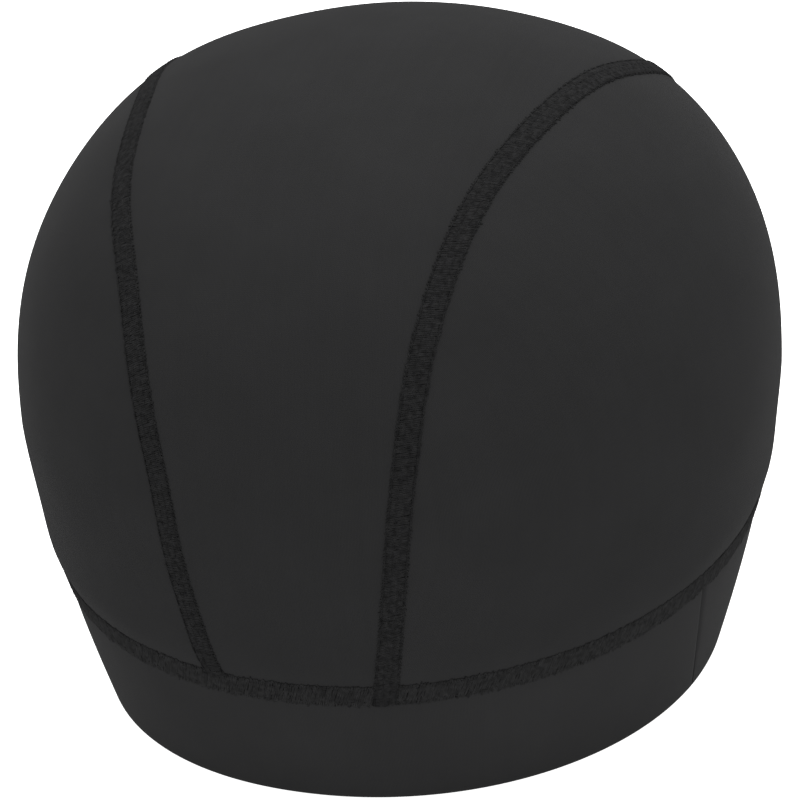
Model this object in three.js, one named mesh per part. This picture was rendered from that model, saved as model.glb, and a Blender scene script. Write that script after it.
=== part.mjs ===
// A close-fitting skull cap in stretch knit: a centre panel from front to back, two side panels,
// wide flat seams between them, and a folded headband. Millimetres, +Z up, the front faces -Y,
// the wearer's left is +X, and the fold of the hem rests on z = 0 around the origin.
import * as THREE from 'three';
import { mergeVertices } from 'three/addons/utils/BufferGeometryUtils.js';

// Outer form of the cap, worn shape
const HALF_WIDTH = 86.3;
const HALF_LENGTH = 93;
const TOTAL_HEIGHT = 150;
const WIDEST_HEIGHT = 68;
// shares of the widest size that are left at the hem
const HEM_SHARE = { width: 0.83, length: 0.86 };
// powers: how late the band draws in, how flat the top is, how full the shoulders are,
// and how square the plan is
const BAND_DRAW = 1.4;
const TOP_FLATNESS = 2.48;
const SHOULDER_FULLNESS = 1.93;
const PLAN_SQUARENESS = 2.06;

// Cloth and seams
const KNIT_THICKNESS = 1.2;
const HEADBAND_THICKNESS = 2.4;
const SEAM_WIDTH = 5.6;
const SEAM_PROUD = 0.4;
const SEAM_EDGE = 0.7;
const GAP = 0.3;
// The waist seam's height at the front. It climbs by these amounts towards the sides and the
// rear, and takes the cloth beside it along, but not the hem and not the crown above a height.
const WAIST_HEIGHT = 29;
const SIDE_CLIMB = 8;
const REAR_CLIMB = 14;
const STILL_BELOW = 2.5;
const STILL_ABOVE = 110;
// The waist seam draws the cloth in a little, and the crown puffs out above it.
const WAIST_DIP = 0.2;
const DIP_REACH = { up: 5.5, down: 8 };
const CROWN_PUFF = 1.3;
const PUFF_REACH = 14;
// Each panel seam stands out as a soft ridge over the shoulders, which grows between these two
// heights and reaches this far to each side of the seam.
const SEAM_RIDGES = [{ side: 1, rise: 1.5 }, { side: -1, rise: 2.2 }];
const RIDGE_FOOT = 60;
const RIDGE_FULL = 100;
const RIDGE_REACH = 22;
// the flattened underside of the hem's fold
const HEM_REST_WIDTH = 1.2;
const HEM_ROUND_HEIGHT = 1.3;

// The crown's cloth ends here, just above the waist seam's front, and the headband ends there,
// just below it. The line between the ears at the crown's foot is also the hinge of the fan of
// angles in the table below. All three are the heights before the seam climbs.
const CROWN_FOOT = WAIST_HEIGHT + SEAM_WIDTH / 2 + GAP;
const BAND_TOP = WAIST_HEIGHT - SEAM_WIDTH / 2 - GAP;
const PANEL_EDGE = SEAM_WIDTH / 2 + GAP;

// Where the panel seams run: degrees over the crown from the front foot to the rear foot, half the
// centre panel's width there, and how far its middle lies towards the wearer's left.
const SEAM_LINE_STEP = 15;
const SEAM_LINE = [
  { angle: 0, half: 19.2, middle: 3.6 },
  { angle: 15, half: 23.6, middle: 3.2 },
  { angle: 30, half: 26.5, middle: 3.7 },
  { angle: 45, half: 31.2, middle: 1.7 },
  { angle: 60, half: 38.4, middle: -1.6 },
  { angle: 75, half: 44.5, middle: -1.9 },
  { angle: 90, half: 50.5, middle: -3.2 },
  { angle: 105, half: 54.7, middle: -3.5 },
  { angle: 120, half: 53.7, middle: -4.1 },
  { angle: 135, half: 49.2, middle: -3.7 },
  { angle: 150, half: 43.5, middle: -2.5 },
  { angle: 165, half: 36.5, middle: -1.0 },
  { angle: 180, half: 28.5, middle: 0.0 },
];

// Facets
const SEAM_STEPS = 42;
const CENTER_STEPS = 8;
const SIDE_STEPS = 38;
const SIDE_ROWS = 10;
const ROUND_STEPS = 80;
const BAND_ROWS = 5;
const REACH = 200;
const HALVINGS = 44;
const NUDGE = 0.01;
const MERGE_DISTANCE = 1e-4;

const KNIT_COLOUR = 0x2b2b2c;
const KNIT_ROUGHNESS = 0.85;
const SEAM_COLOUR = 0x1d1d1e;
const SEAM_ROUGHNESS = 0.9;
const FAN_CENTER = new THREE.Vector3(0, 0, CROWN_FOOT);

const mix = (from, to, share) => from + (to - from) * share;
const bell = (distance, reach) => Math.exp(-((distance / reach) ** 2));

// Below 0 inside the cap's outer form, 0 on it, above 0 outside
function outside(x, y, z) {
  const rise = Math.max(0, (z - WIDEST_HEIGHT) / (TOTAL_HEIGHT - WIDEST_HEIGHT));
  const drop = Math.max(0, (WIDEST_HEIGHT - z) / WIDEST_HEIGHT) ** BAND_DRAW;
  const width = HALF_WIDTH * mix(1, HEM_SHARE.width, drop);
  const length = HALF_LENGTH * mix(1, HEM_SHARE.length, drop);
  const plan = (Math.abs(x) / width) ** PLAN_SQUARENESS
    + (Math.abs(y) / length) ** PLAN_SQUARENESS;
  return rise ** TOP_FLATNESS + plan ** (SHOULDER_FULLNESS / PLAN_SQUARENESS) - 1;
}

// The point where a line from inside the cap leaves its outer form
function surfaceAlong(start, direction) {
  const point = new THREE.Vector3();
  let near = 0;
  let far = REACH;
  for (let i = 0; i < HALVINGS; i += 1) {
    const middle = (near + far) / 2;
    point.copy(direction).multiplyScalar(middle).add(start);
    if (outside(point.x, point.y, point.z) < 0) near = middle;
    else far = middle;
  }
  return point;
}

function normalAt({ x, y, z }) {
  return new THREE.Vector3(
    outside(x + NUDGE, y, z) - outside(x - NUDGE, y, z),
    outside(x, y + NUDGE, z) - outside(x, y - NUDGE, z),
    outside(x, y, z + NUDGE) - outside(x, y, z - NUDGE),
  ).normalize();
}

// One column of the table at an angle over the crown, on a smooth curve through its rows
function fromTable(column, angle) {
  const place = angle / SEAM_LINE_STEP;
  const row = THREE.MathUtils.clamp(Math.floor(place), 0, SEAM_LINE.length - 2);
  const t = place - row;
  const from = SEAM_LINE[row][column];
  const to = SEAM_LINE[row + 1][column];
  const before = row > 0 ? SEAM_LINE[row - 1][column] : 2 * from - to;
  const after = row + 2 < SEAM_LINE.length ? SEAM_LINE[row + 2][column] : 2 * to - from;
  const slopeIn = (to - before) / 2;
  const slopeOut = (after - from) / 2;
  const bend = 2 * (from - to) + slopeIn + slopeOut;
  const curve = 3 * (to - from) - 2 * slopeIn - slopeOut;
  return from + t * (slopeIn + t * (curve + t * bend));
}

// How far to the wearer's left a panel seam lies; side is 1 for the left seam, -1 for the right
function seamLine(angle, side) {
  return side * fromTable('half', angle) + fromTable('middle', angle);
}

// The point of the outer form at an angle over the crown and a distance to the wearer's left
function crownPoint(angle, left) {
  const turn = THREE.MathUtils.degToRad(angle);
  return surfaceAlong(
    new THREE.Vector3(left, 0, CROWN_FOOT),
    new THREE.Vector3(0, -Math.cos(turn), Math.sin(turn)),
  );
}

// The point of the outer form at a height and a turn from the front towards the wearer's left
function ringPoint(turn, height) {
  return surfaceAlong(
    new THREE.Vector3(0, 0, height),
    new THREE.Vector3(Math.sin(turn), -Math.cos(turn), 0),
  );
}

// The point squarely beside a panel seam's line, this far outwards from the middle of the cap
function besideSeam(angle, side, distance) {
  const line = seamLine(angle, side);
  const here = crownPoint(angle, line);
  const across = crownPoint(angle, line + 1).sub(here);
  const along = crownPoint(angle + 1, seamLine(angle + 1, side)).sub(here).normalize();
  const square = across.addScaledVector(along, -across.dot(along)).length();
  return crownPoint(angle, line + side * (distance / square));
}

// How far the cloth stands out from the outer form at a point of that form
function swellAt(point) {
  const above = point.z - WAIST_HEIGHT;
  const held = bell(above, above > 0 ? DIP_REACH.up : DIP_REACH.down);
  const puff = above > 0 ? CROWN_PUFF * (1 - held) * bell(above, PUFF_REACH) : 0;
  const turn = THREE.MathUtils.radToDeg(Math.atan2(point.z - CROWN_FOOT, -point.y));
  const angle = THREE.MathUtils.clamp(turn < -90 ? turn + 360 : turn, 0, 180);
  const ridge = SEAM_RIDGES.reduce((sum, { side, rise }) => (
    sum + rise * bell(point.x - seamLine(angle, side), RIDGE_REACH)), 0);
  const shoulder = THREE.MathUtils.smoothstep(point.z, RIDGE_FOOT, RIDGE_FULL);
  return puff - WAIST_DIP * held + shoulder * ridge;
}

// How far the waist seam has climbed at a turn from the front
function climbAt(turn) {
  const sideways = Math.sin(turn) ** 2;
  return REAR_CLIMB * (1 - Math.cos(turn)) / 2 + (SIDE_CLIMB - REAR_CLIMB / 2) * sideways;
}

// Where a point of the outer form lies after the waist seam's climb has slid it up that form
function climbed(point) {
  const above = THREE.MathUtils.smoothstep(point.z, CROWN_FOOT, STILL_ABOVE);
  const below = THREE.MathUtils.clamp((point.z - STILL_BELOW) / (BAND_TOP - STILL_BELOW), 0, 1);
  const share = below * (1 - above);
  if (share === 0) return point.clone();
  const turn = Math.atan2(point.x, -point.y);
  return ringPoint(turn, point.z + climbAt(turn) * share);
}

// A point of the cloth: on the outer form, swelled, then raised by some height
function clothPoint(point, raise) {
  const place = climbed(point);
  return place.addScaledVector(normalAt(place), raise + swellAt(point));
}

// A closed wall from stations, each an outer and an inner row of as many points.
// A round wall joins its last station to its first, and any other is closed at both ends.
function wall(stations, round) {
  const corners = [];
  const quad = (a, b, c, d) => corners.push(a, b, c, a, c, d);
  const loopOf = ({ outer, inner }) => [...outer, ...[...inner].reverse()];
  const last = round ? stations.length : stations.length - 1;
  for (let i = 0; i < last; i += 1) {
    const here = loopOf(stations[i]);
    const next = loopOf(stations[(i + 1) % stations.length]);
    here.forEach((point, k) => {
      const side = (k + 1) % here.length;
      quad(point, here[side], next[side], next[k]);
    });
  }
  if (!round) {
    const first = stations[0];
    const end = stations[stations.length - 1];
    for (let k = 0; k + 1 < first.outer.length; k += 1) {
      quad(first.outer[k], first.inner[k], first.inner[k + 1], first.outer[k + 1]);
      quad(end.outer[k], end.outer[k + 1], end.inner[k + 1], end.inner[k]);
    }
  }
  return closedGeometry(corners);
}

// Merges equal corners, and leaves out the triangles that shrink to a line at a panel's point
function closedGeometry(corners) {
  const merged = mergeVertices(new THREE.BufferGeometry().setFromPoints(corners), MERGE_DISTANCE);
  const index = Array.from(merged.index.array);
  const kept = [];
  for (let i = 0; i < index.length; i += 3) {
    const [a, b, c] = index.slice(i, i + 3);
    if (a !== b && b !== c && c !== a) kept.push(a, b, c);
  }
  merged.setIndex(kept);
  merged.computeVertexNormals();
  return merged;
}

function piece(name, geometry, color, roughness) {
  const material = new THREE.MeshStandardMaterial({ color, roughness, metalness: 0 });
  const mesh = new THREE.Mesh(geometry, material);
  mesh.name = name;
  return mesh;
}

// Evenly spaced angles over the crown, from the front foot to the rear foot
const anglesOver = (steps) => Array.from({ length: steps + 1 }, (_, i) => (180 * i) / steps);

function centerPanel() {
  const stations = anglesOver(SEAM_STEPS).map((angle) => {
    const left = besideSeam(angle, 1, -PANEL_EDGE).x;
    const right = besideSeam(angle, -1, -PANEL_EDGE).x;
    const row = Array.from({ length: CENTER_STEPS + 1 }, (_, i) => (
      crownPoint(angle, mix(right, left, i / CENTER_STEPS))));
    return {
      outer: row.map((point) => clothPoint(point, 0)),
      inner: row.map((point) => clothPoint(point, -KNIT_THICKNESS)),
    };
  });
  return wall(stations, false);
}

// A seam's cross-section: how far across and how far above the cloth's face each corner lies
function seamSection(thickness) {
  const edge = SEAM_WIDTH / 2;
  const across = [-edge, SEAM_EDGE - edge, edge - SEAM_EDGE, edge];
  const rise = [0, SEAM_PROUD, SEAM_PROUD, 0];
  return across.map((distance, i) => ({
    distance,
    top: rise[i],
    bottom: -thickness - rise[i],
  }));
}

function panelSeam(side) {
  const stations = anglesOver(SEAM_STEPS).map((angle) => {
    const row = seamSection(KNIT_THICKNESS).map(({ distance, top, bottom }) => {
      const point = besideSeam(angle, side, side * distance);
      return { top: clothPoint(point, top), bottom: clothPoint(point, bottom) };
    });
    return { outer: row.map(({ top }) => top), inner: row.map(({ bottom }) => bottom) };
  });
  return wall(stations, false);
}

// One side of the crown. Its stations are lines from the panel seam down to the waist seam,
// short at the front and rear points of the panel and long over the ear.
function sidePanel(side) {
  const seamSide = anglesOver(SIDE_STEPS).map((angle) => besideSeam(angle, side, PANEL_EDGE));
  const turnOf = (point) => Math.atan2(point.x, -point.y);
  const frontTurn = turnOf(seamSide[0]);
  const rearTurn = turnOf(seamSide[SIDE_STEPS]);
  const stations = seamSide.map((top, i) => {
    const atPoint = i === 0 || i === SIDE_STEPS;
    const foot = atPoint ? top : ringPoint(mix(frontTurn, rearTurn, i / SIDE_STEPS), CROWN_FOOT);
    const row = Array.from({ length: SIDE_ROWS + 1 }, (_, k) => {
      const direction = top.clone().lerp(foot, k / SIDE_ROWS).sub(FAN_CENTER).normalize();
      return surfaceAlong(FAN_CENTER, direction);
    });
    return {
      outer: row.map((point) => clothPoint(point, 0)),
      inner: row.map((point) => clothPoint(point, -KNIT_THICKNESS)),
    };
  });
  return wall(side > 0 ? stations : stations.reverse(), false);
}

// Turns from the front towards the wearer's left, all the way round
const TURNS = Array.from({ length: ROUND_STEPS }, (_, i) => (2 * Math.PI * i) / ROUND_STEPS);

function waistSeam() {
  const stations = TURNS.map((turn) => {
    const thickness = (KNIT_THICKNESS + HEADBAND_THICKNESS) / 2;
    const row = seamSection(thickness).map((corner) => {
      const point = ringPoint(turn, WAIST_HEIGHT - corner.distance);
      return { top: clothPoint(point, corner.top), bottom: clothPoint(point, corner.bottom) };
    });
    return { outer: row.map(({ top }) => top), inner: row.map(({ bottom }) => bottom) };
  });
  return wall(stations, true);
}

// The headband: two layers that part from a fold with a flattened underside
function headband() {
  const roundDepth = (HEADBAND_THICKNESS - HEM_REST_WIDTH) / 2;
  const heights = Array.from({ length: BAND_ROWS + 1 }, (_, i) => (
    mix(BAND_TOP, HEM_ROUND_HEIGHT, i / BAND_ROWS)));
  const stations = TURNS.map((turn) => {
    const rows = heights.map((height) => {
      const point = ringPoint(turn, height);
      return { outer: clothPoint(point, 0), inner: clothPoint(point, -HEADBAND_THICKNESS) };
    });
    const outward = new THREE.Vector3(Math.sin(turn), -Math.cos(turn), 0);
    const hem = ringPoint(turn, 0);
    const outerFoot = hem.clone().addScaledVector(outward, -roundDepth);
    const innerFoot = hem.clone().addScaledVector(outward, roundDepth - HEADBAND_THICKNESS);
    return {
      outer: [...rows.map(({ outer }) => outer), outerFoot],
      inner: [...rows.map(({ inner }) => inner), innerFoot],
    };
  });
  return wall(stations, true);
}

const crown = new THREE.Group();
crown.add(
  piece('crown_center_panel', centerPanel(), KNIT_COLOUR, KNIT_ROUGHNESS),
  piece('crown_side_left', sidePanel(1), KNIT_COLOUR, KNIT_ROUGHNESS),
  piece('crown_side_right', sidePanel(-1), KNIT_COLOUR, KNIT_ROUGHNESS),
  piece('panel_seam_left', panelSeam(1), SEAM_COLOUR, SEAM_ROUGHNESS),
  piece('panel_seam_right', panelSeam(-1), SEAM_COLOUR, SEAM_ROUGHNESS),
);

const cap = new THREE.Group();
cap.add(
  crown,
  piece('waist_seam', waistSeam(), SEAM_COLOUR, SEAM_ROUGHNESS),
  piece('headband', headband(), KNIT_COLOUR, KNIT_ROUGHNESS),
);

export default cap;
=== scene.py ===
# A close-fitting athletic skull cap in charcoal stretch knit, shown filled out as it is worn.
# Blender works in metres with +Z up; the front faces -Y and the wearer's left is +X.
# The sizes named here are in millimetres, and MM turns them into metres.
import math

import bpy
import numpy as np
from mathutils import Matrix


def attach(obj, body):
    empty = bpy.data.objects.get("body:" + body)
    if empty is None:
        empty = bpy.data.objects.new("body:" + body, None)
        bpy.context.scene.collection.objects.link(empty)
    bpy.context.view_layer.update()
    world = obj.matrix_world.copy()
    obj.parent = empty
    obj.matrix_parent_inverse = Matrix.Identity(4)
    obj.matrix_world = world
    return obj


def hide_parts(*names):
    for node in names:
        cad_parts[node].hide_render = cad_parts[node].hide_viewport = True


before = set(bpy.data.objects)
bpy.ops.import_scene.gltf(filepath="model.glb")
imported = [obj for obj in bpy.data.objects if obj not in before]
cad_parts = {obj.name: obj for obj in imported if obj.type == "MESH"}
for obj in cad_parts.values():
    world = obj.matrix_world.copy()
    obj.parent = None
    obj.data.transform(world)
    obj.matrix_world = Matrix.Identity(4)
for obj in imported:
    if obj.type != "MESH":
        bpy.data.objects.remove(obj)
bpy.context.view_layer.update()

MM = 0.001
bpy.ops.object.select_all(action="DESELECT")


# Crown, centre panel
# One strip of smooth stretch knit, narrow at the brow and the nape and wide over the crown.
# Its long edges are sewn to the side panels, and its short ends to the headband.
HALF_WIDTH = 86.3
HALF_LENGTH = 93
TOTAL_HEIGHT = 150
WIDEST_HEIGHT = 68
# shares of the widest size that are left at the hem
HEM_WIDTH, HEM_LENGTH = 0.83, 0.86
# powers: how late the band draws in, how flat the top is, how full the shoulders are, and how
# square the plan is
BAND_DRAW = 1.4
TOP_FLATNESS = 2.48
SHOULDER_FULLNESS = 1.93
PLAN_SQUARENESS = 2.06
# the search for the form's surface starts this far out and halves its range this often, and
# slopes are measured over a small nudge
FAR_OUTSIDE = 200
HALVINGS = 40
NUDGE = 0.01

KNIT_THICKNESS = 1.2
SEAM_WIDTH = 5.6
SEAM_GAP = 0.3
# the waist seam's height at the front, and how far it climbs to the sides and the rear, taking
# the cloth beside it along
WAIST_HEIGHT = 29
SIDE_CLIMB = 8
REAR_CLIMB = 14
STILL_BELOW = 2.5
STILL_ABOVE = 110
CROWN_FOOT = WAIST_HEIGHT + SEAM_WIDTH / 2 + SEAM_GAP
BAND_TOP = WAIST_HEIGHT - SEAM_WIDTH / 2 - SEAM_GAP
# the waist seam draws the cloth in a little, and the crown puffs out above it
WAIST_DIP = 0.2
DIP_REACH_UP, DIP_REACH_DOWN = 5.5, 8
CROWN_PUFF = 1.3
PUFF_REACH = 14
# each panel seam, side 1 or -1, stands out as a soft ridge over the shoulders
SEAM_RIDGES = ((1, 1.5), (-1, 2.2))
RIDGE_FOOT, RIDGE_FULL = 60, 100
RIDGE_REACH = 22
# under a seam, each piece of cloth stops this short of the seam's line
EDGE_GAP = 0.15

# the panel seams each 15 degrees over the crown, from the front: half the distance between them,
# and how far their middle is shifted to the wearer's left
SEAM_LINE_STEP = 15
SEAM_HALF = np.array([19.2, 23.6, 26.5, 31.2, 38.4, 44.5, 50.5, 54.7, 53.7, 49.2, 43.5, 36.5, 28.5])
SEAM_MIDDLE = np.array([3.6, 3.2, 3.7, 1.7, -1.6, -1.9, -3.2, -3.5, -4.1, -3.7, -2.5, -1, 0])


def outside(point):
    """Below 0 inside the cap's outer form, 0 on it, above 0 outside"""
    x, y, z = np.moveaxis(point, -1, 0)
    rise = np.clip((z - WIDEST_HEIGHT) / (TOTAL_HEIGHT - WIDEST_HEIGHT), 0, None)
    drop = np.clip((WIDEST_HEIGHT - z) / WIDEST_HEIGHT, 0, None) ** BAND_DRAW
    width = HALF_WIDTH * (1 - (1 - HEM_WIDTH) * drop)
    length = HALF_LENGTH * (1 - (1 - HEM_LENGTH) * drop)
    plan = (np.abs(x) / width) ** PLAN_SQUARENESS + (np.abs(y) / length) ** PLAN_SQUARENESS
    return rise ** TOP_FLATNESS + plan ** (SHOULDER_FULLNESS / PLAN_SQUARENESS) - 1


def surface_along(start, direction):
    """The points where lines from inside the cap leave its outer form"""
    near = np.zeros(direction.shape[:-1])
    far = np.full(near.shape, float(FAR_OUTSIDE))
    for _ in range(HALVINGS):
        middle = (near + far) / 2
        within = outside(start + direction * middle[..., None]) < 0
        near = np.where(within, middle, near)
        far = np.where(within, far, middle)
    return start + direction * near[..., None]


def unit(vectors):
    return vectors / np.linalg.norm(vectors, axis=-1, keepdims=True)


def normal_at(point):
    return unit(np.stack([
        outside(point + NUDGE * axis) - outside(point - NUDGE * axis) for axis in np.eye(3)
    ], -1))


def from_table(values, angle):
    """A smooth curve through values that stand for 0, 15, 30 ... degrees over the crown"""
    place = angle / SEAM_LINE_STEP
    row = np.clip(np.floor(place).astype(int), 0, len(values) - 2)
    t = place - row
    first, last = row == 0, row == len(values) - 2
    start, end = values[row], values[row + 1]
    before = np.where(first, 2 * start - end, values[row - 1])
    after = np.where(last, 2 * end - start, values[np.minimum(row + 2, len(values) - 1)])
    slope_in, slope_out = (end - before) / 2, (after - start) / 2
    bend = 2 * (start - end) + slope_in + slope_out
    curve = 3 * (end - start) - 2 * slope_in - slope_out
    return start + t * (slope_in + t * (curve + t * bend))


def seam_line(angle, side):
    """How far to the wearer's left a panel seam lies: side 1 is the left seam, -1 the right"""
    return side * from_table(SEAM_HALF, angle) + from_table(SEAM_MIDDLE, angle)


def crown_point(angle, left):
    """The point of the outer form at an angle over the crown and a distance to the wearer's left"""
    turn, left = np.broadcast_arrays(np.radians(angle), left)
    nothing = np.zeros_like(turn)
    start = np.stack([left, nothing, nothing + CROWN_FOOT], -1)
    return surface_along(start, np.stack([nothing, -np.cos(turn), np.sin(turn)], -1))


def ring_point(turn, height):
    """The point of the outer form at a height and a turn from the front to the wearer's left"""
    turn, height = np.broadcast_arrays(np.asarray(turn, float), np.asarray(height, float))
    nothing = np.zeros_like(turn)
    start = np.stack([nothing, nothing, height], -1)
    return surface_along(start, np.stack([np.sin(turn), -np.cos(turn), nothing], -1))


def beside_seam(angle, side, distance):
    """The point squarely beside a panel seam's line, this far outwards from the cap's middle"""
    line = seam_line(angle, side)
    here = crown_point(angle, line)
    across = crown_point(angle, line + 1) - here
    along = unit(crown_point(angle + 1, seam_line(angle + 1, side)) - here)
    square = across - along * np.sum(across * along, -1, keepdims=True)
    return crown_point(angle, line + side * distance / np.linalg.norm(square, axis=-1))


def bell(distance, reach):
    return np.exp(-((distance / reach) ** 2))


def swell_at(point):
    """How far the cloth stands out from the outer form at a point of that form"""
    x, y, z = np.moveaxis(point, -1, 0)
    above = z - WAIST_HEIGHT
    held = bell(above, np.where(above > 0, DIP_REACH_UP, DIP_REACH_DOWN))
    puff = np.where(above > 0, CROWN_PUFF * (1 - held) * bell(above, PUFF_REACH), 0)
    turn = np.degrees(np.arctan2(z - CROWN_FOOT, -y))
    angle = np.clip(np.where(turn < -90, turn + 360, turn), 0, 180)
    ridge = sum(rise * bell(x - seam_line(angle, side), RIDGE_REACH) for side, rise in SEAM_RIDGES)
    share = np.clip((z - RIDGE_FOOT) / (RIDGE_FULL - RIDGE_FOOT), 0, 1)
    return puff - WAIST_DIP * held + ridge * share ** 2 * (3 - 2 * share)


def climbed(point):
    """Where a point of the outer form lies after the waist seam's climb has slid it up that form"""
    x, y, z = np.moveaxis(point, -1, 0)
    turn = np.arctan2(x, -y)
    climb = REAR_CLIMB * (1 - np.cos(turn)) / 2 + (SIDE_CLIMB - REAR_CLIMB / 2) * np.sin(turn) ** 2
    below = np.clip((z - STILL_BELOW) / (BAND_TOP - STILL_BELOW), 0, 1)
    still = np.clip((STILL_ABOVE - z) / (STILL_ABOVE - CROWN_FOOT), 0, 1)
    rise = climb * below * still ** 2 * (3 - 2 * still)
    return np.where((rise > 0)[..., None], ring_point(turn, z + rise), point)


def cloth_point(point, height):
    """A point of the cloth: on the outer form, swelled, then raised by a height"""
    place = climbed(point)
    return place + normal_at(place) * (height + swell_at(point))[..., None]


def lengths_along(points):
    """How far along a line of points each one lies"""
    steps = np.linalg.norm(np.diff(points, axis=0), axis=-1)
    return np.concatenate([[0], np.cumsum(steps)])


# points this close, in metres, become one where they meet at a panel's tips, and faces that meet
# at less than this angle, in degrees, are shaded smooth
MERGE = 2e-6
SMOOTH_ANGLE = 50


def cloth_sheet(name, points, flat_place, thickness, solid_side):
    """A grid laid on rows of points, with the cloth's own flat coordinates and its thickness"""
    rows, columns = points.shape[:2]
    bpy.ops.mesh.primitive_grid_add(
        x_subdivisions=columns - 1, y_subdivisions=rows - 1, size=1, calc_uvs=False)
    sheet = bpy.context.object
    sheet.name = sheet.data.name = name
    sheet.data.vertices.foreach_set("co", (points * MM).ravel())
    flat = sheet.data.uv_layers.new(name="flat_cloth")
    corner = np.zeros(len(sheet.data.loops), dtype=int)
    sheet.data.loops.foreach_get("vertex_index", corner)
    flat.data.foreach_set("uv", flat_place.reshape(-1, 2)[corner].ravel())
    bpy.ops.object.mode_set(mode="EDIT")
    bpy.ops.mesh.select_all(action="SELECT")
    bpy.ops.mesh.remove_doubles(threshold=MERGE)
    bpy.ops.object.mode_set(mode="OBJECT")
    wall = sheet.modifiers.new("knit thickness", "SOLIDIFY")
    wall.thickness = thickness * MM
    # -1 puts the thickness inside the points, and 0 puts half of it on each side
    wall.offset = solid_side
    wall.use_even_offset = True
    bpy.ops.object.modifier_apply(modifier=wall.name)
    bpy.ops.object.shade_smooth_by_angle(angle=math.radians(SMOOTH_ANGLE))
    return sheet


def angle_of_drop(drop):
    """The angle over the crown that reaches this far below its foot, at the front or the rear"""
    return math.degrees(math.atan2(drop, HALF_LENGTH * HEM_LENGTH))


CENTER_ROWS = 190
CENTER_COLUMNS = 60
# the ends run under the waist seam
FOOT_ANGLE = angle_of_drop(CROWN_FOOT - WAIST_HEIGHT - EDGE_GAP)

angles = np.linspace(-FOOT_ANGLE, 180 + FOOT_ANGLE, CENTER_ROWS)
left_edge = beside_seam(angles, 1, -EDGE_GAP)[:, 0]
right_edge = beside_seam(angles, -1, -EDGE_GAP)[:, 0]
share = np.linspace(0, 1, CENTER_COLUMNS)
across = right_edge[:, None] + (left_edge - right_edge)[:, None] * share
form = crown_point(angles[:, None], across)
middle = form[:, CENTER_COLUMNS // 2]
run = np.broadcast_to(lengths_along(middle)[:, None], across.shape)
side_length = np.linalg.norm(np.diff(form, axis=1), axis=-1)
reach = np.concatenate([np.zeros((CENTER_ROWS, 1)), np.cumsum(side_length, 1)], 1)
reach = reach - reach[:, CENTER_COLUMNS // 2][:, None]
center_panel = cloth_sheet(
    "center_panel_knit", cloth_point(form, np.zeros(across.shape)),
    np.stack([reach, run], -1), KNIT_THICKNESS, -1)


def new_group(name, inputs, outputs):
    """A shader node group with named inputs (type, value) and outputs (type)"""
    group = bpy.data.node_groups.new(name, "ShaderNodeTree")
    for label, (kind, value) in inputs.items():
        socket = group.interface.new_socket(label, in_out="INPUT", socket_type=kind)
        if value is not None:
            socket.default_value = value
    for label, kind in outputs.items():
        group.interface.new_socket(label, in_out="OUTPUT", socket_type=kind)
    return group


FLOAT, COLOUR, VECTOR = "NodeSocketFloat", "NodeSocketColor", "NodeSocketVector"


def math_node(tree, operation, *values):
    """A math node whose inputs are numbers or other nodes' outputs"""
    node = tree.nodes.new("ShaderNodeMath")
    node.operation = operation
    for socket, value in zip(node.inputs, values):
        if isinstance(value, (int, float)):
            socket.default_value = value
        else:
            tree.links.new(value, socket)
    return node.outputs[0]


# the relief: how far a stitch leg leans, in courses to a wale, the share of its height that the
# loops shape, how much loose fibres add and how fine they are, and the height of it all in mm
LEG_LEAN = 1.6
LOOP_SHARE = 0.3
FIBRE_SHARE = 0.6
FIBRE_SCALE = 3.5
RELIEF_HEIGHT = 0.12
# the dye: streaks from wale to wale and soft patches; painted shade makes the gaps between the
# stitch legs darker and the legs lighter
STREAK_SCALE = 0.37
STREAK_DRIFT = 0.01
PATCH_SCALE = 0.045
NOISE_GAIN = 4
PAINTED_GAP_SHADE, PAINTED_LEG_LIGHT = 0.9, 0.16
ROUGHNESS_SPREAD = 0.12


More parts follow.
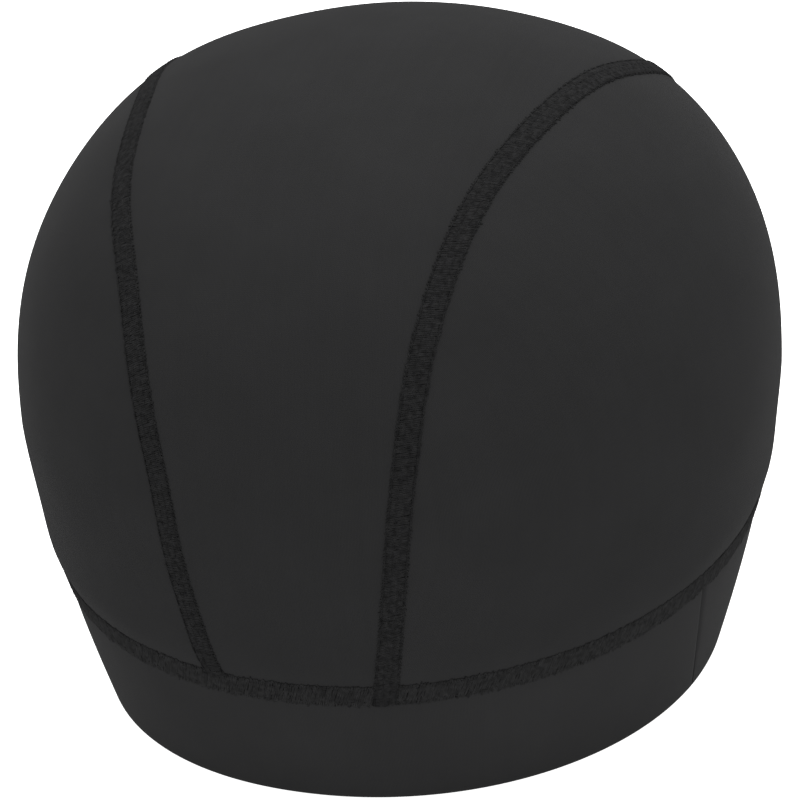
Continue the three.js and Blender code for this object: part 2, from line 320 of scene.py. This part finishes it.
def knit_group():
    """Fine jersey: columns of slanted stitch legs, streaks and patches in the dye, and painted
    shade in the gaps
    """
    tree = new_group("stretch knit", {
        "Cloth place": (VECTOR, None),
        "Dye": (COLOUR, (0.02, 0.02, 0.02, 1)),
        "Wale pitch": (FLOAT, 0.6),
        "Course pitch": (FLOAT, 0.45),
        "Relief": (FLOAT, 0.3),
        "Roughness": (FLOAT, 0.8),
        "Streaks": (FLOAT, 0.02),
        "Patches": (FLOAT, 0.06),
    }, {"Colour": COLOUR, "Roughness": FLOAT, "Normal": VECTOR})
    give = tree.nodes.new("NodeGroupInput").outputs
    take = tree.nodes.new("NodeGroupOutput").inputs
    link = tree.links.new
    split = tree.nodes.new("ShaderNodeSeparateXYZ")
    link(give["Cloth place"], split.inputs[0])
    across, up = split.outputs[0], split.outputs[1]
    wale = math_node(tree, "DIVIDE", across, give["Wale pitch"])
    leg = math_node(tree, "PINGPONG", wale, 0.5)
    leg_round = math_node(tree, "SINE", math_node(tree, "MULTIPLY", leg, 2 * math.pi))
    course = math_node(tree, "DIVIDE", up, give["Course pitch"])
    slanted = math_node(tree, "ADD", course, math_node(tree, "MULTIPLY", leg, LEG_LEAN))
    loop = math_node(tree, "SINE", math_node(tree, "MULTIPLY", slanted, 2 * math.pi))
    shaped = math_node(tree, "MULTIPLY_ADD", loop, LOOP_SHARE, 1 - LOOP_SHARE)
    stitch = math_node(tree, "MULTIPLY", leg_round, shaped)

    fibre = tree.nodes.new("ShaderNodeTexNoise")
    fibre.inputs["Scale"].default_value = FIBRE_SCALE
    fibre.inputs["Detail"].default_value = 3
    link(give["Cloth place"], fibre.inputs["Vector"])
    loose = math_node(tree, "MULTIPLY", fibre.outputs[0], FIBRE_SHARE)
    height = math_node(tree, "ADD", stitch, loose)
    bump = tree.nodes.new("ShaderNodeBump")
    bump.inputs["Distance"].default_value = RELIEF_HEIGHT * MM
    link(give["Relief"], bump.inputs["Strength"])
    link(height, bump.inputs["Height"])
    link(bump.outputs[0], take["Normal"])

    # each wale takes the dye a little differently
    column = math_node(tree, "FLOOR", wale)
    lone = tree.nodes.new("ShaderNodeCombineXYZ")
    link(column, lone.inputs[0])
    link(math_node(tree, "MULTIPLY", up, STREAK_DRIFT), lone.inputs[1])
    streak = tree.nodes.new("ShaderNodeTexNoise")
    streak.inputs["Scale"].default_value = STREAK_SCALE
    streak.inputs["Detail"].default_value = 2
    link(lone.outputs[0], streak.inputs["Vector"])
    patch = tree.nodes.new("ShaderNodeTexNoise")
    patch.inputs["Scale"].default_value = PATCH_SCALE
    patch.inputs["Detail"].default_value = 4
    patch.inputs["Roughness"].default_value = 0.6
    link(give["Cloth place"], patch.inputs["Vector"])
    level = 1
    for noise, amount in ((streak, "Streaks"), (patch, "Patches")):
        off = math_node(tree, "SUBTRACT", noise.outputs[0], 0.5)
        gain = math_node(tree, "MULTIPLY", give[amount], NOISE_GAIN)
        level = math_node(tree, "ADD", math_node(tree, "MULTIPLY", off, gain), level)
    # painted shade: the colour is darker in the gaps between the stitch legs and lighter on the
    # legs
    painted_stitch_shade = math_node(tree, "MULTIPLY_ADD", stitch, PAINTED_LEG_LIGHT, PAINTED_GAP_SHADE)
    tone = math_node(tree, "MULTIPLY", level, painted_stitch_shade)
    dye = tree.nodes.new("ShaderNodeVectorMath")
    dye.operation = "SCALE"
    link(give["Dye"], dye.inputs[0])
    link(tone, dye.inputs["Scale"])
    link(dye.outputs[0], take["Colour"])
    uneven = math_node(
        tree, "MULTIPLY_ADD", fibre.outputs[0], ROUGHNESS_SPREAD, -ROUGHNESS_SPREAD / 2)
    link(math_node(tree, "ADD", uneven, give["Roughness"]), take["Roughness"])
    return tree


def cloth_material(name, group, settings, sheen, specular, use_flat):
    """A Principled shader that takes its colour, roughness and normal from a finish group"""
    material = bpy.data.materials.new(name)
    material.use_nodes = True
    tree = material.node_tree
    shader = tree.nodes["Principled BSDF"]
    finish = tree.nodes.new("ShaderNodeGroup")
    finish.node_tree = group
    for label, value in settings.items():
        finish.inputs[label].default_value = value
    if use_flat:
        place = tree.nodes.new("ShaderNodeUVMap")
        place.uv_map = "flat_cloth"
        tree.links.new(place.outputs[0], finish.inputs["Cloth place"])
    else:
        place = tree.nodes.new("ShaderNodeTexCoord")
        tree.links.new(place.outputs["Object"], finish.inputs["Place"])
    tree.links.new(finish.outputs["Colour"], shader.inputs["Base Color"])
    tree.links.new(finish.outputs["Roughness"], shader.inputs["Roughness"])
    tree.links.new(finish.outputs["Normal"], shader.inputs["Normal"])
    shader.inputs["Sheen Weight"].default_value = sheen
    shader.inputs["Sheen Roughness"].default_value = SHEEN_SPREAD
    shader.inputs["Specular IOR Level"].default_value = specular
    return material


CHARCOAL = (0.0165, 0.0165, 0.0168, 1)
CLOTH_SHEEN = 0.027
CLOTH_SPECULAR = 0
CLOTH_ROUGHNESS = 0.8
SHEEN_SPREAD = 0.3
stretch_knit = knit_group()
crown_knit = cloth_material(
    "crown knit", stretch_knit, {"Dye": CHARCOAL, "Roughness": CLOTH_ROUGHNESS},
    CLOTH_SHEEN, CLOTH_SPECULAR, True)
center_panel.data.materials.append(crown_knit)
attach(center_panel, "root")
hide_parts("crown_center_panel")


# Crown, side panels
# Two leaf-shaped pieces of the same knit, one over each ear. The long curved edge is sewn to
# the centre panel and the lower edge to the headband, so each ends in a point front and rear.
SIDE_STATIONS = 190
SIDE_ROWS = 62
# the tips reach a little further under the waist seam than the centre panel's ends
TIP_REACH = 1.05
FAN_CENTER = np.array([0, 0, CROWN_FOOT])


def side_panel_form(side):
    """Rows of points from the panel seam down to the waist seam, from the front to the rear"""
    tip_angle = FOOT_ANGLE * TIP_REACH
    over = np.linspace(-tip_angle, 180 + tip_angle, SIDE_STATIONS)
    top = beside_seam(over, side, EDGE_GAP)
    turns = np.arctan2(top[:, 0], -top[:, 1])
    share = np.linspace(0, 1, SIDE_STATIONS)
    foot = ring_point(turns[0] + (turns[-1] - turns[0]) * share, WAIST_HEIGHT + EDGE_GAP)
    foot[0], foot[-1] = top[0], top[-1]
    down = np.linspace(0, 1, SIDE_ROWS)[:, None]
    line = top[:, None] * (1 - down) + foot[:, None] * down
    return surface_along(FAN_CENTER, unit(line - FAN_CENTER))


for side, where in ((1, "left"), (-1, "right")):
    form = side_panel_form(side)
    x, y, z = np.moveaxis(form, -1, 0)
    # a point's place on the flat cloth is how far round the cap and how far up it lies
    around = HALF_LENGTH * np.arcsin(np.clip(y / (HALF_LENGTH + 1), -1, 1))
    height = np.hypot(x, z - CROWN_FOOT) * np.arctan2(z - CROWN_FOOT, np.abs(x))
    flat_place = np.stack([around, height], -1)
    if side < 0:
        form, flat_place = form[::-1], flat_place[::-1]
    side_panel = cloth_sheet(
        f"side_panel_{where}_knit", cloth_point(form, np.zeros(form.shape[:2])),
        flat_place, KNIT_THICKNESS, -1)
    side_panel.data.materials.append(crown_knit)
    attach(side_panel, "root")
    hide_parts(f"crown_side_{where}")


# Panel seams
# Each joins the centre panel to a side panel edge to edge with a flatlock: a thick soft cover
# thread runs to and fro over the join, four rows of fine needle thread hold it down, and a
# looper thread crosses the join inside.
COVER_RADIUS = 0.27
NEEDLE_RADIUS = 0.13
LOOPER_RADIUS = 0.2
# the looper turns back this far inside the cover thread's edge
LOOPER_INSET = 0.3
# the needle rows' places across the seam, their stitch, the share of it that shows, and how high
# they lie on the cover thread
PANEL_NEEDLES = (-2.25, -0.75, 0.75, 2.25)
PANEL_STITCH = 2.4
PANEL_SHOWN = 0.8
PANEL_NEEDLE_RISE = 0.26
# how close the cover thread's crossings are, how far across they reach, how they slant, and how
# far they stray along the seam, across it and in height
PANEL_CROSSING = 0.4
PANEL_EDGE = 2.25
PANEL_SLANT = 0.3
PANEL_WANDER = (0.04, 0.13, 0.03)
# a thread turns back a little past its edge, this share of a crossing
TURN_SHARE = 0.6
# a needle thread dips into its hole and arches a little where it shows
NEEDLE_DIP = 0.5
NEEDLE_ARCH = 0.1
SEAM_SAMPLES = 400
dice = np.random.default_rng(7)


def to_and_fro(length, pitch, edge, slant, heights, wander):
    """A thread's way along a seam: (along, across, height) rows, crossing at every pitch"""
    across_stops = np.linspace(-edge, edge, len(heights))
    turn_back = edge + TURN_SHARE * pitch
    rows = []
    for crossing in range(int(length / pitch)):
        way = 1 if crossing % 2 == 0 else -1
        for stop, rise in zip(across_stops[::way], heights[::way]):
            rows.append((pitch * crossing + slant * stop, stop, rise))
        halfway = pitch * (crossing + 0.5) + slant * edge * way
        rows.append((halfway, way * turn_back, heights[0]))
    return np.array(rows) + dice.normal(0, wander, (len(rows), 3))


def needle_row(length, stitch, shown, across, rise):
    """One row of needle thread: each stitch comes up from a hole and shows for a share of itself"""
    stops = ((0, -NEEDLE_DIP), (0.5 - shown / 2, 0), (0.5, NEEDLE_ARCH), (0.5 + shown / 2, 0))
    rows = []
    for number in range(int(length / stitch)):
        rows.extend((stitch * (number + at), across, rise + more) for at, more in stops)
    return np.array(rows)


def make_active(piece):
    bpy.ops.object.select_all(action="DESELECT")
    piece.select_set(True)
    bpy.context.view_layer.objects.active = piece


def sewn_thread(name, strands, radius):
    """Round thread along lines of points, as one mesh"""
    curve = bpy.data.curves.new(name, "CURVE")
    curve.dimensions = "3D"
    curve.bevel_depth = radius * MM
    curve.bevel_resolution = 1
    curve.use_fill_caps = True
    for points in strands:
        spline = curve.splines.new("POLY")
        spline.points.add(len(points) - 1)
        places = np.column_stack([points * MM, np.ones(len(points))])
        spline.points.foreach_set("co", places.ravel())
    thread = bpy.data.objects.new(name, curve)
    bpy.context.collection.objects.link(thread)
    make_active(thread)
    bpy.ops.object.convert(target="MESH")
    bpy.ops.object.shade_smooth()
    return bpy.context.object


# thread takes its noise from its place in metres, so these scales are to the metre
THREAD_FIBRE_SCALE = 6000
THREAD_PATCH_SCALE = 900
THREAD_RELIEF = 0.05
THREAD_ROUGHNESS, THREAD_ROUGHNESS_SPREAD = 0.7, 0.2


def thread_group():
    """Soft textured sewing thread: fine fibres and a little unevenness in the dye"""
    group = new_group("sewing thread", {
        "Place": (VECTOR, None),
        "Dye": (COLOUR, (0.01, 0.01, 0.01, 1)),
        "Fuzz": (FLOAT, 0.5),
        "Unevenness": (FLOAT, 1.5),
    }, {"Colour": COLOUR, "Roughness": FLOAT, "Normal": VECTOR})
    give = group.nodes.new("NodeGroupInput").outputs
    take = group.nodes.new("NodeGroupOutput").inputs
    link = group.links.new
    fibre = group.nodes.new("ShaderNodeTexNoise")
    fibre.inputs["Scale"].default_value = THREAD_FIBRE_SCALE
    fibre.inputs["Detail"].default_value = 2
    patch = group.nodes.new("ShaderNodeTexNoise")
    patch.inputs["Scale"].default_value = THREAD_PATCH_SCALE
    patch.inputs["Detail"].default_value = 3
    for noise in (fibre, patch):
        link(give["Place"], noise.inputs["Vector"])
    bump = group.nodes.new("ShaderNodeBump")
    bump.inputs["Distance"].default_value = THREAD_RELIEF * MM
    link(give["Fuzz"], bump.inputs["Strength"])
    link(fibre.outputs[0], bump.inputs["Height"])
    link(bump.outputs[0], take["Normal"])
    off = math_node(group, "SUBTRACT", patch.outputs[0], 0.5)
    tone = math_node(group, "MULTIPLY_ADD", off, give["Unevenness"], 1)
    dye = group.nodes.new("ShaderNodeVectorMath")
    dye.operation = "SCALE"
    link(give["Dye"], dye.inputs[0])
    link(tone, dye.inputs["Scale"])
    link(dye.outputs[0], take["Colour"])
    roughness = math_node(
        group, "MULTIPLY_ADD", fibre.outputs[0], THREAD_ROUGHNESS_SPREAD, THREAD_ROUGHNESS)
    link(roughness, take["Roughness"])
    return group


BLACK = (0.0127, 0.0127, 0.0129, 1)
DEEP_BLACK = (0.0105, 0.0105, 0.0107, 1)
THREAD_SHEEN = 0.012
sewing_thread = thread_group()
cover_finish = cloth_material(
    "cover thread", sewing_thread, {"Dye": BLACK}, THREAD_SHEEN, 0, False)
needle_finish = cloth_material(
    "needle thread", sewing_thread, {"Dye": DEEP_BLACK}, THREAD_SHEEN, 0, False)


def finish_thread(thread, material, *replaced):
    thread.data.materials.append(material)
    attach(thread, "root")
    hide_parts(*replaced)


# how much higher a panel seam lies where it runs on over the waist seam
WAIST_LIFT = 0.35


def on_panel_seam(side, first_angle):
    """Returns a function that lays (along, across, height) rows on a panel seam, and its length"""
    fine = np.linspace(first_angle, 180 + FOOT_ANGLE, SEAM_SAMPLES)
    far = lengths_along(beside_seam(fine, side, 0.0))

    def lay(rows):
        angle = np.interp(rows[:, 0], far, fine)
        form = beside_seam(angle, side, side * rows[:, 1])
        over_waist = np.clip((FOOT_ANGLE - angle) / (2 * FOOT_ANGLE), 0, 1)
        lift = WAIST_LIFT * over_waist if first_angle < -FOOT_ANGLE else 0
        return cloth_point(form, rows[:, 2] + lift)

    return lay, far[-1]


# the wearer's left seam runs on over the waist seam to its lower edge, and the right one ends on it
WAIST_CROSSED = angle_of_drop(SEAM_WIDTH - SEAM_GAP)
# a crossing's heights from one edge to the other: it is pressed down at each needle row
COVER_HEIGHTS = np.array([0.02, 0.16, 0.12, 0.16, 0.12, 0.16, 0.02])
for side, where, first_angle in ((1, "left", -WAIST_CROSSED), (-1, "right", -FOOT_ANGLE)):
    lay, length = on_panel_seam(side, first_angle)
    cover = to_and_fro(length, PANEL_CROSSING, PANEL_EDGE, PANEL_SLANT, COVER_HEIGHTS, PANEL_WANDER)
    cover_thread = sewn_thread(f"panel_seam_{where}_cover_thread", [lay(cover)], COVER_RADIUS)
    finish_thread(cover_thread, cover_finish, f"panel_seam_{where}")
    needles = []
    for across in PANEL_NEEDLES:
        row = needle_row(length, PANEL_STITCH, PANEL_SHOWN, across, PANEL_NEEDLE_RISE)
        needles.append(lay(row))
    needle_thread = sewn_thread(f"panel_seam_{where}_needle_threads", needles, NEEDLE_RADIUS)
    finish_thread(needle_thread, needle_finish)
    inside = np.full(5, -KNIT_THICKNESS - LOOPER_RADIUS)
    looper = to_and_fro(
        length, PANEL_STITCH / 2, PANEL_EDGE - LOOPER_INSET, PANEL_SLANT, inside, PANEL_WANDER)
    looper_thread = sewn_thread(f"panel_seam_{where}_looper_thread", [lay(looper)], LOOPER_RADIUS)
    finish_thread(looper_thread, needle_finish)


# Waist seam
# The same kind of flat seam, a little looser, joins the crown to the headband all the way
# round. Two rows of needle thread hold its cover thread down, and hardly show.
WAIST_CROSSING = 0.36
WAIST_STITCH = 2.8
WAIST_SHOWN = 0.25
WAIST_EDGE = 2.45
WAIST_SLANT = 0.35
WAIST_NEEDLES = (-1.6, 1.6)
WAIST_NEEDLE_RISE = 0.26
WAIST_WANDER = (0.05, 0.22, 0.03)
GIRTH_SAMPLES = 721

fine_turns = np.linspace(-np.pi, np.pi, GIRTH_SAMPLES)
waist_far = lengths_along(ring_point(fine_turns, WAIST_HEIGHT))
waist_girth = waist_far[-1]


def lay_on_waist(rows):
    turn = np.interp(rows[:, 0] % waist_girth, waist_far, fine_turns)
    form = ring_point(turn, WAIST_HEIGHT + rows[:, 1])
    return cloth_point(form, rows[:, 2])


WAIST_BLACK = (0.0145, 0.0145, 0.0147, 1)
WAIST_COVER_HEIGHTS = np.array([0.0, 0.14, 0.18, 0.14, 0.0])
cover = to_and_fro(
    waist_girth, WAIST_CROSSING, WAIST_EDGE, WAIST_SLANT, WAIST_COVER_HEIGHTS, WAIST_WANDER)
waist_cover = sewn_thread("waist_seam_cover_thread", [lay_on_waist(cover)], COVER_RADIUS)
waist_finish = cloth_material(
    "waist cover thread", sewing_thread, {"Dye": WAIST_BLACK}, THREAD_SHEEN, 0, False)
finish_thread(waist_cover, waist_finish, "waist_seam")
needles = []
for across in WAIST_NEEDLES:
    row = needle_row(waist_girth, WAIST_STITCH, WAIST_SHOWN, across, WAIST_NEEDLE_RISE)
    needles.append(lay_on_waist(row))
waist_needle = sewn_thread("waist_seam_needle_threads", needles, NEEDLE_RADIUS)
finish_thread(waist_needle, waist_finish)
# inside, the band below the seam is thicker than the crown above it
INSIDE_BELOW, INSIDE_ABOVE = -2, -1.5
inside = np.linspace(INSIDE_BELOW, INSIDE_ABOVE, 5)
looper = to_and_fro(
    waist_girth, WAIST_STITCH / 2, WAIST_EDGE - LOOPER_INSET, WAIST_SLANT, inside, WAIST_WANDER)
waist_looper = sewn_thread("waist_seam_looper_thread", [lay_on_waist(looper)], LOOPER_RADIUS)
finish_thread(waist_looper, needle_finish)


# Headband
# One strip of the same knit, folded double so that the fold is the hem, with both raw edges in
# the waist seam. Its ends meet in one thin, slightly leaning joint on the wearer's left.
BAND_LAYER = 1.1
BAND_THICKNESS = 2.4
FOLD_RADIUS = BAND_THICKNESS / 2
FOLD_STEPS = 10
BAND_STEPS = 15
BAND_QUAD = 1.8
# how far below the seam its hold still presses the two layers together
PRESS_REACH = 4
# where the joint's top lies from the front to the wearer's left, how far its foot leans from
# there, and how late it bows
JOINT_TURN = math.radians(71.5)
JOINT_LEAN = math.radians(7)
JOINT_BOW = 1.6
# half the gap between the two ends, how deep their edges dip in and how far from them, and the
# mesh columns beside them
JOINT_GAP = 0.28
JOINT_DIP = 0.8
JOINT_REACH = 0.7
JOINT_COLUMNS = (0.45, 0.65, 0.9, 1.2, 1.6, 2.2, 3.2)


def band_columns(girth):
    """How far round the band each column of the mesh lies, closer together at the joint"""
    plain = np.arange(JOINT_COLUMNS[-1], girth - JOINT_COLUMNS[-1], BAND_QUAD)
    start = [JOINT_GAP, *JOINT_COLUMNS[:-1]]
    return np.array([*start, *plain, *(girth - np.array(start[::-1]))])


turn_fine = np.linspace(0, 2 * np.pi, GIRTH_SAMPLES) + JOINT_TURN
girth_fine = lengths_along(ring_point(turn_fine, WAIST_HEIGHT / 2))
column_far = band_columns(girth_fine[-1])
top_turns = np.interp(column_far, girth_fine, turn_fine)
turns = top_turns + JOINT_LEAN
to_joint = np.minimum(column_far, girth_fine[-1] - column_far)
dip = JOINT_DIP * bell(to_joint, JOINT_REACH)

top = WAIST_HEIGHT - EDGE_GAP
hem = ring_point(turns, FOLD_RADIUS)
hem_out = normal_at(hem)
hem = ring_point(turns, FOLD_RADIUS + FOLD_RADIUS * hem_out[:, 2])
hem_height = hem[:, 2]
up_share = np.linspace(1, 0, BAND_STEPS)[:, None]
heights = hem_height + (top - hem_height) * up_share
leaned = (1 - up_share) ** JOINT_BOW
wall_form = ring_point(top_turns + JOINT_LEAN * leaned, heights)
# the two layers are pressed together where the waist seam holds them
pressed = bell(top - heights, PRESS_REACH)
gap_between = (BAND_THICKNESS - 2 * BAND_LAYER) * (1 - pressed)
outer = cloth_point(wall_form, -BAND_LAYER / 2 - dip * up_share)
inner = cloth_point(wall_form, -BAND_LAYER * 1.5 - gap_between - dip * up_share)
hem_out = normal_at(hem)
around = unit(np.stack([np.cos(turns), np.sin(turns), 0 * turns], -1))
down = -np.cross(hem_out, around)
center = cloth_point(hem, np.full(turns.shape, -FOLD_RADIUS))
bend = np.linspace(0, np.pi, FOLD_STEPS + 2)[1:-1, None, None]
fold = center + (FOLD_RADIUS - BAND_LAYER / 2) * (np.cos(bend) * hem_out + np.sin(bend) * down)
profile = np.concatenate([outer, fold, inner[::-1]])
run = np.stack([lengths_along(profile[:, n]) for n in range(profile.shape[1])], 1)
leaned = np.concatenate([leaned, np.ones((FOLD_STEPS, 1)), leaned[::-1]])
lean_length = JOINT_LEAN * girth_fine[-1] / (2 * np.pi)
flat_place = np.stack([column_far + lean_length * leaned, -run], -1)
# painted light: the band takes a lighter copy of the crown's knit, to make up for the light that
# the low band misses
BAND_CHARCOAL_PAINTED_LIGHTER = (0.0185, 0.0185, 0.0188, 1)
headband = cloth_sheet("headband_knit", profile[::-1], flat_place[::-1], BAND_LAYER, 0)
band_knit_painted_lighter = cloth_material(
    "band knit painted lighter", stretch_knit, {"Dye": BAND_CHARCOAL_PAINTED_LIGHTER, "Roughness": CLOTH_ROUGHNESS},
    CLOTH_SHEEN, CLOTH_SPECULAR, True)
headband.data.materials.append(band_knit_painted_lighter)
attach(headband, "root")
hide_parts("headband")


# Floor, light and camera
# A plain white floor, a bright soft ceiling and pale surroundings, seen from the cap's front
# left and a little from above.
FLOOR_SIZE = 8
bpy.ops.mesh.primitive_plane_add(size=FLOOR_SIZE)
floor = bpy.context.object
floor.name = "floor"
FLOOR_GLOW = 1.0
FLOOR_PALENESS = 0.5
white = bpy.data.materials.new("white light table")
white.use_nodes = True
table_top = white.node_tree.nodes["Principled BSDF"].inputs
table_top["Base Color"].default_value = (FLOOR_PALENESS, FLOOR_PALENESS, FLOOR_PALENESS, 1)
table_top["Roughness"].default_value = 0.9
table_top["Specular IOR Level"].default_value = 0.1
table_top["Emission Color"].default_value = (1, 1, 1, 1)
table_top["Emission Strength"].default_value = FLOOR_GLOW
floor.data.materials.append(white)

AMBIENT = 0.8
world = bpy.data.worlds.new("surroundings")
bpy.context.scene.world = world
world.use_nodes = True
tree = world.node_tree
pale = tree.nodes["Background"]
pale.inputs["Color"].default_value = (1, 1, 1, 1)
pale.inputs["Strength"].default_value = AMBIENT

CEILING_SIZE = 2.4
CEILING_HEIGHT = 1.6
CEILING_BACK = 0.5
CEILING_POWER = 75
bpy.ops.object.light_add(type="AREA", location=(0, CEILING_BACK, CEILING_HEIGHT))
ceiling = bpy.context.object
ceiling.name = "ceiling_light"
ceiling.data.size = CEILING_SIZE
ceiling.data.energy = CEILING_POWER

# the camera's angles in degrees, its distance, its lens, and the point that it looks at
CAMERA_AZIMUTH = 20.1
CAMERA_ELEVATION = 23.45
CAMERA_ROLL = -3.39
CAMERA_DISTANCE = 703
CAMERA_LENS = 137.4
AIM_HEIGHT = 76
AIM_RIGHT = -0.39
AIM_UP = -15.35
turn, tilt, roll = np.radians([CAMERA_AZIMUTH, CAMERA_ELEVATION, CAMERA_ROLL])
back = np.array([np.sin(turn) * np.cos(tilt), -np.cos(turn) * np.cos(tilt), np.sin(tilt)])
level = np.array([np.cos(turn), np.sin(turn), 0])
upright = np.cross(back, level)
right = np.cos(roll) * level + np.sin(roll) * upright
up = -np.sin(roll) * level + np.cos(roll) * upright
aim = np.array([0, 0, AIM_HEIGHT]) + AIM_RIGHT * right + AIM_UP * up
place = (aim + CAMERA_DISTANCE * back) * MM
bpy.ops.object.camera_add()
camera = bpy.context.object
camera.name = "camera"
camera.data.lens = CAMERA_LENS
camera.data.sensor_width = 36
camera.data.clip_start = 0.01
stand = np.column_stack([right, up, back, place])
camera.matrix_world = Matrix([*stand.tolist(), [0, 0, 0, 1]])
bpy.context.scene.camera = camera
bpy.context.scene.view_settings.view_transform = "Standard"
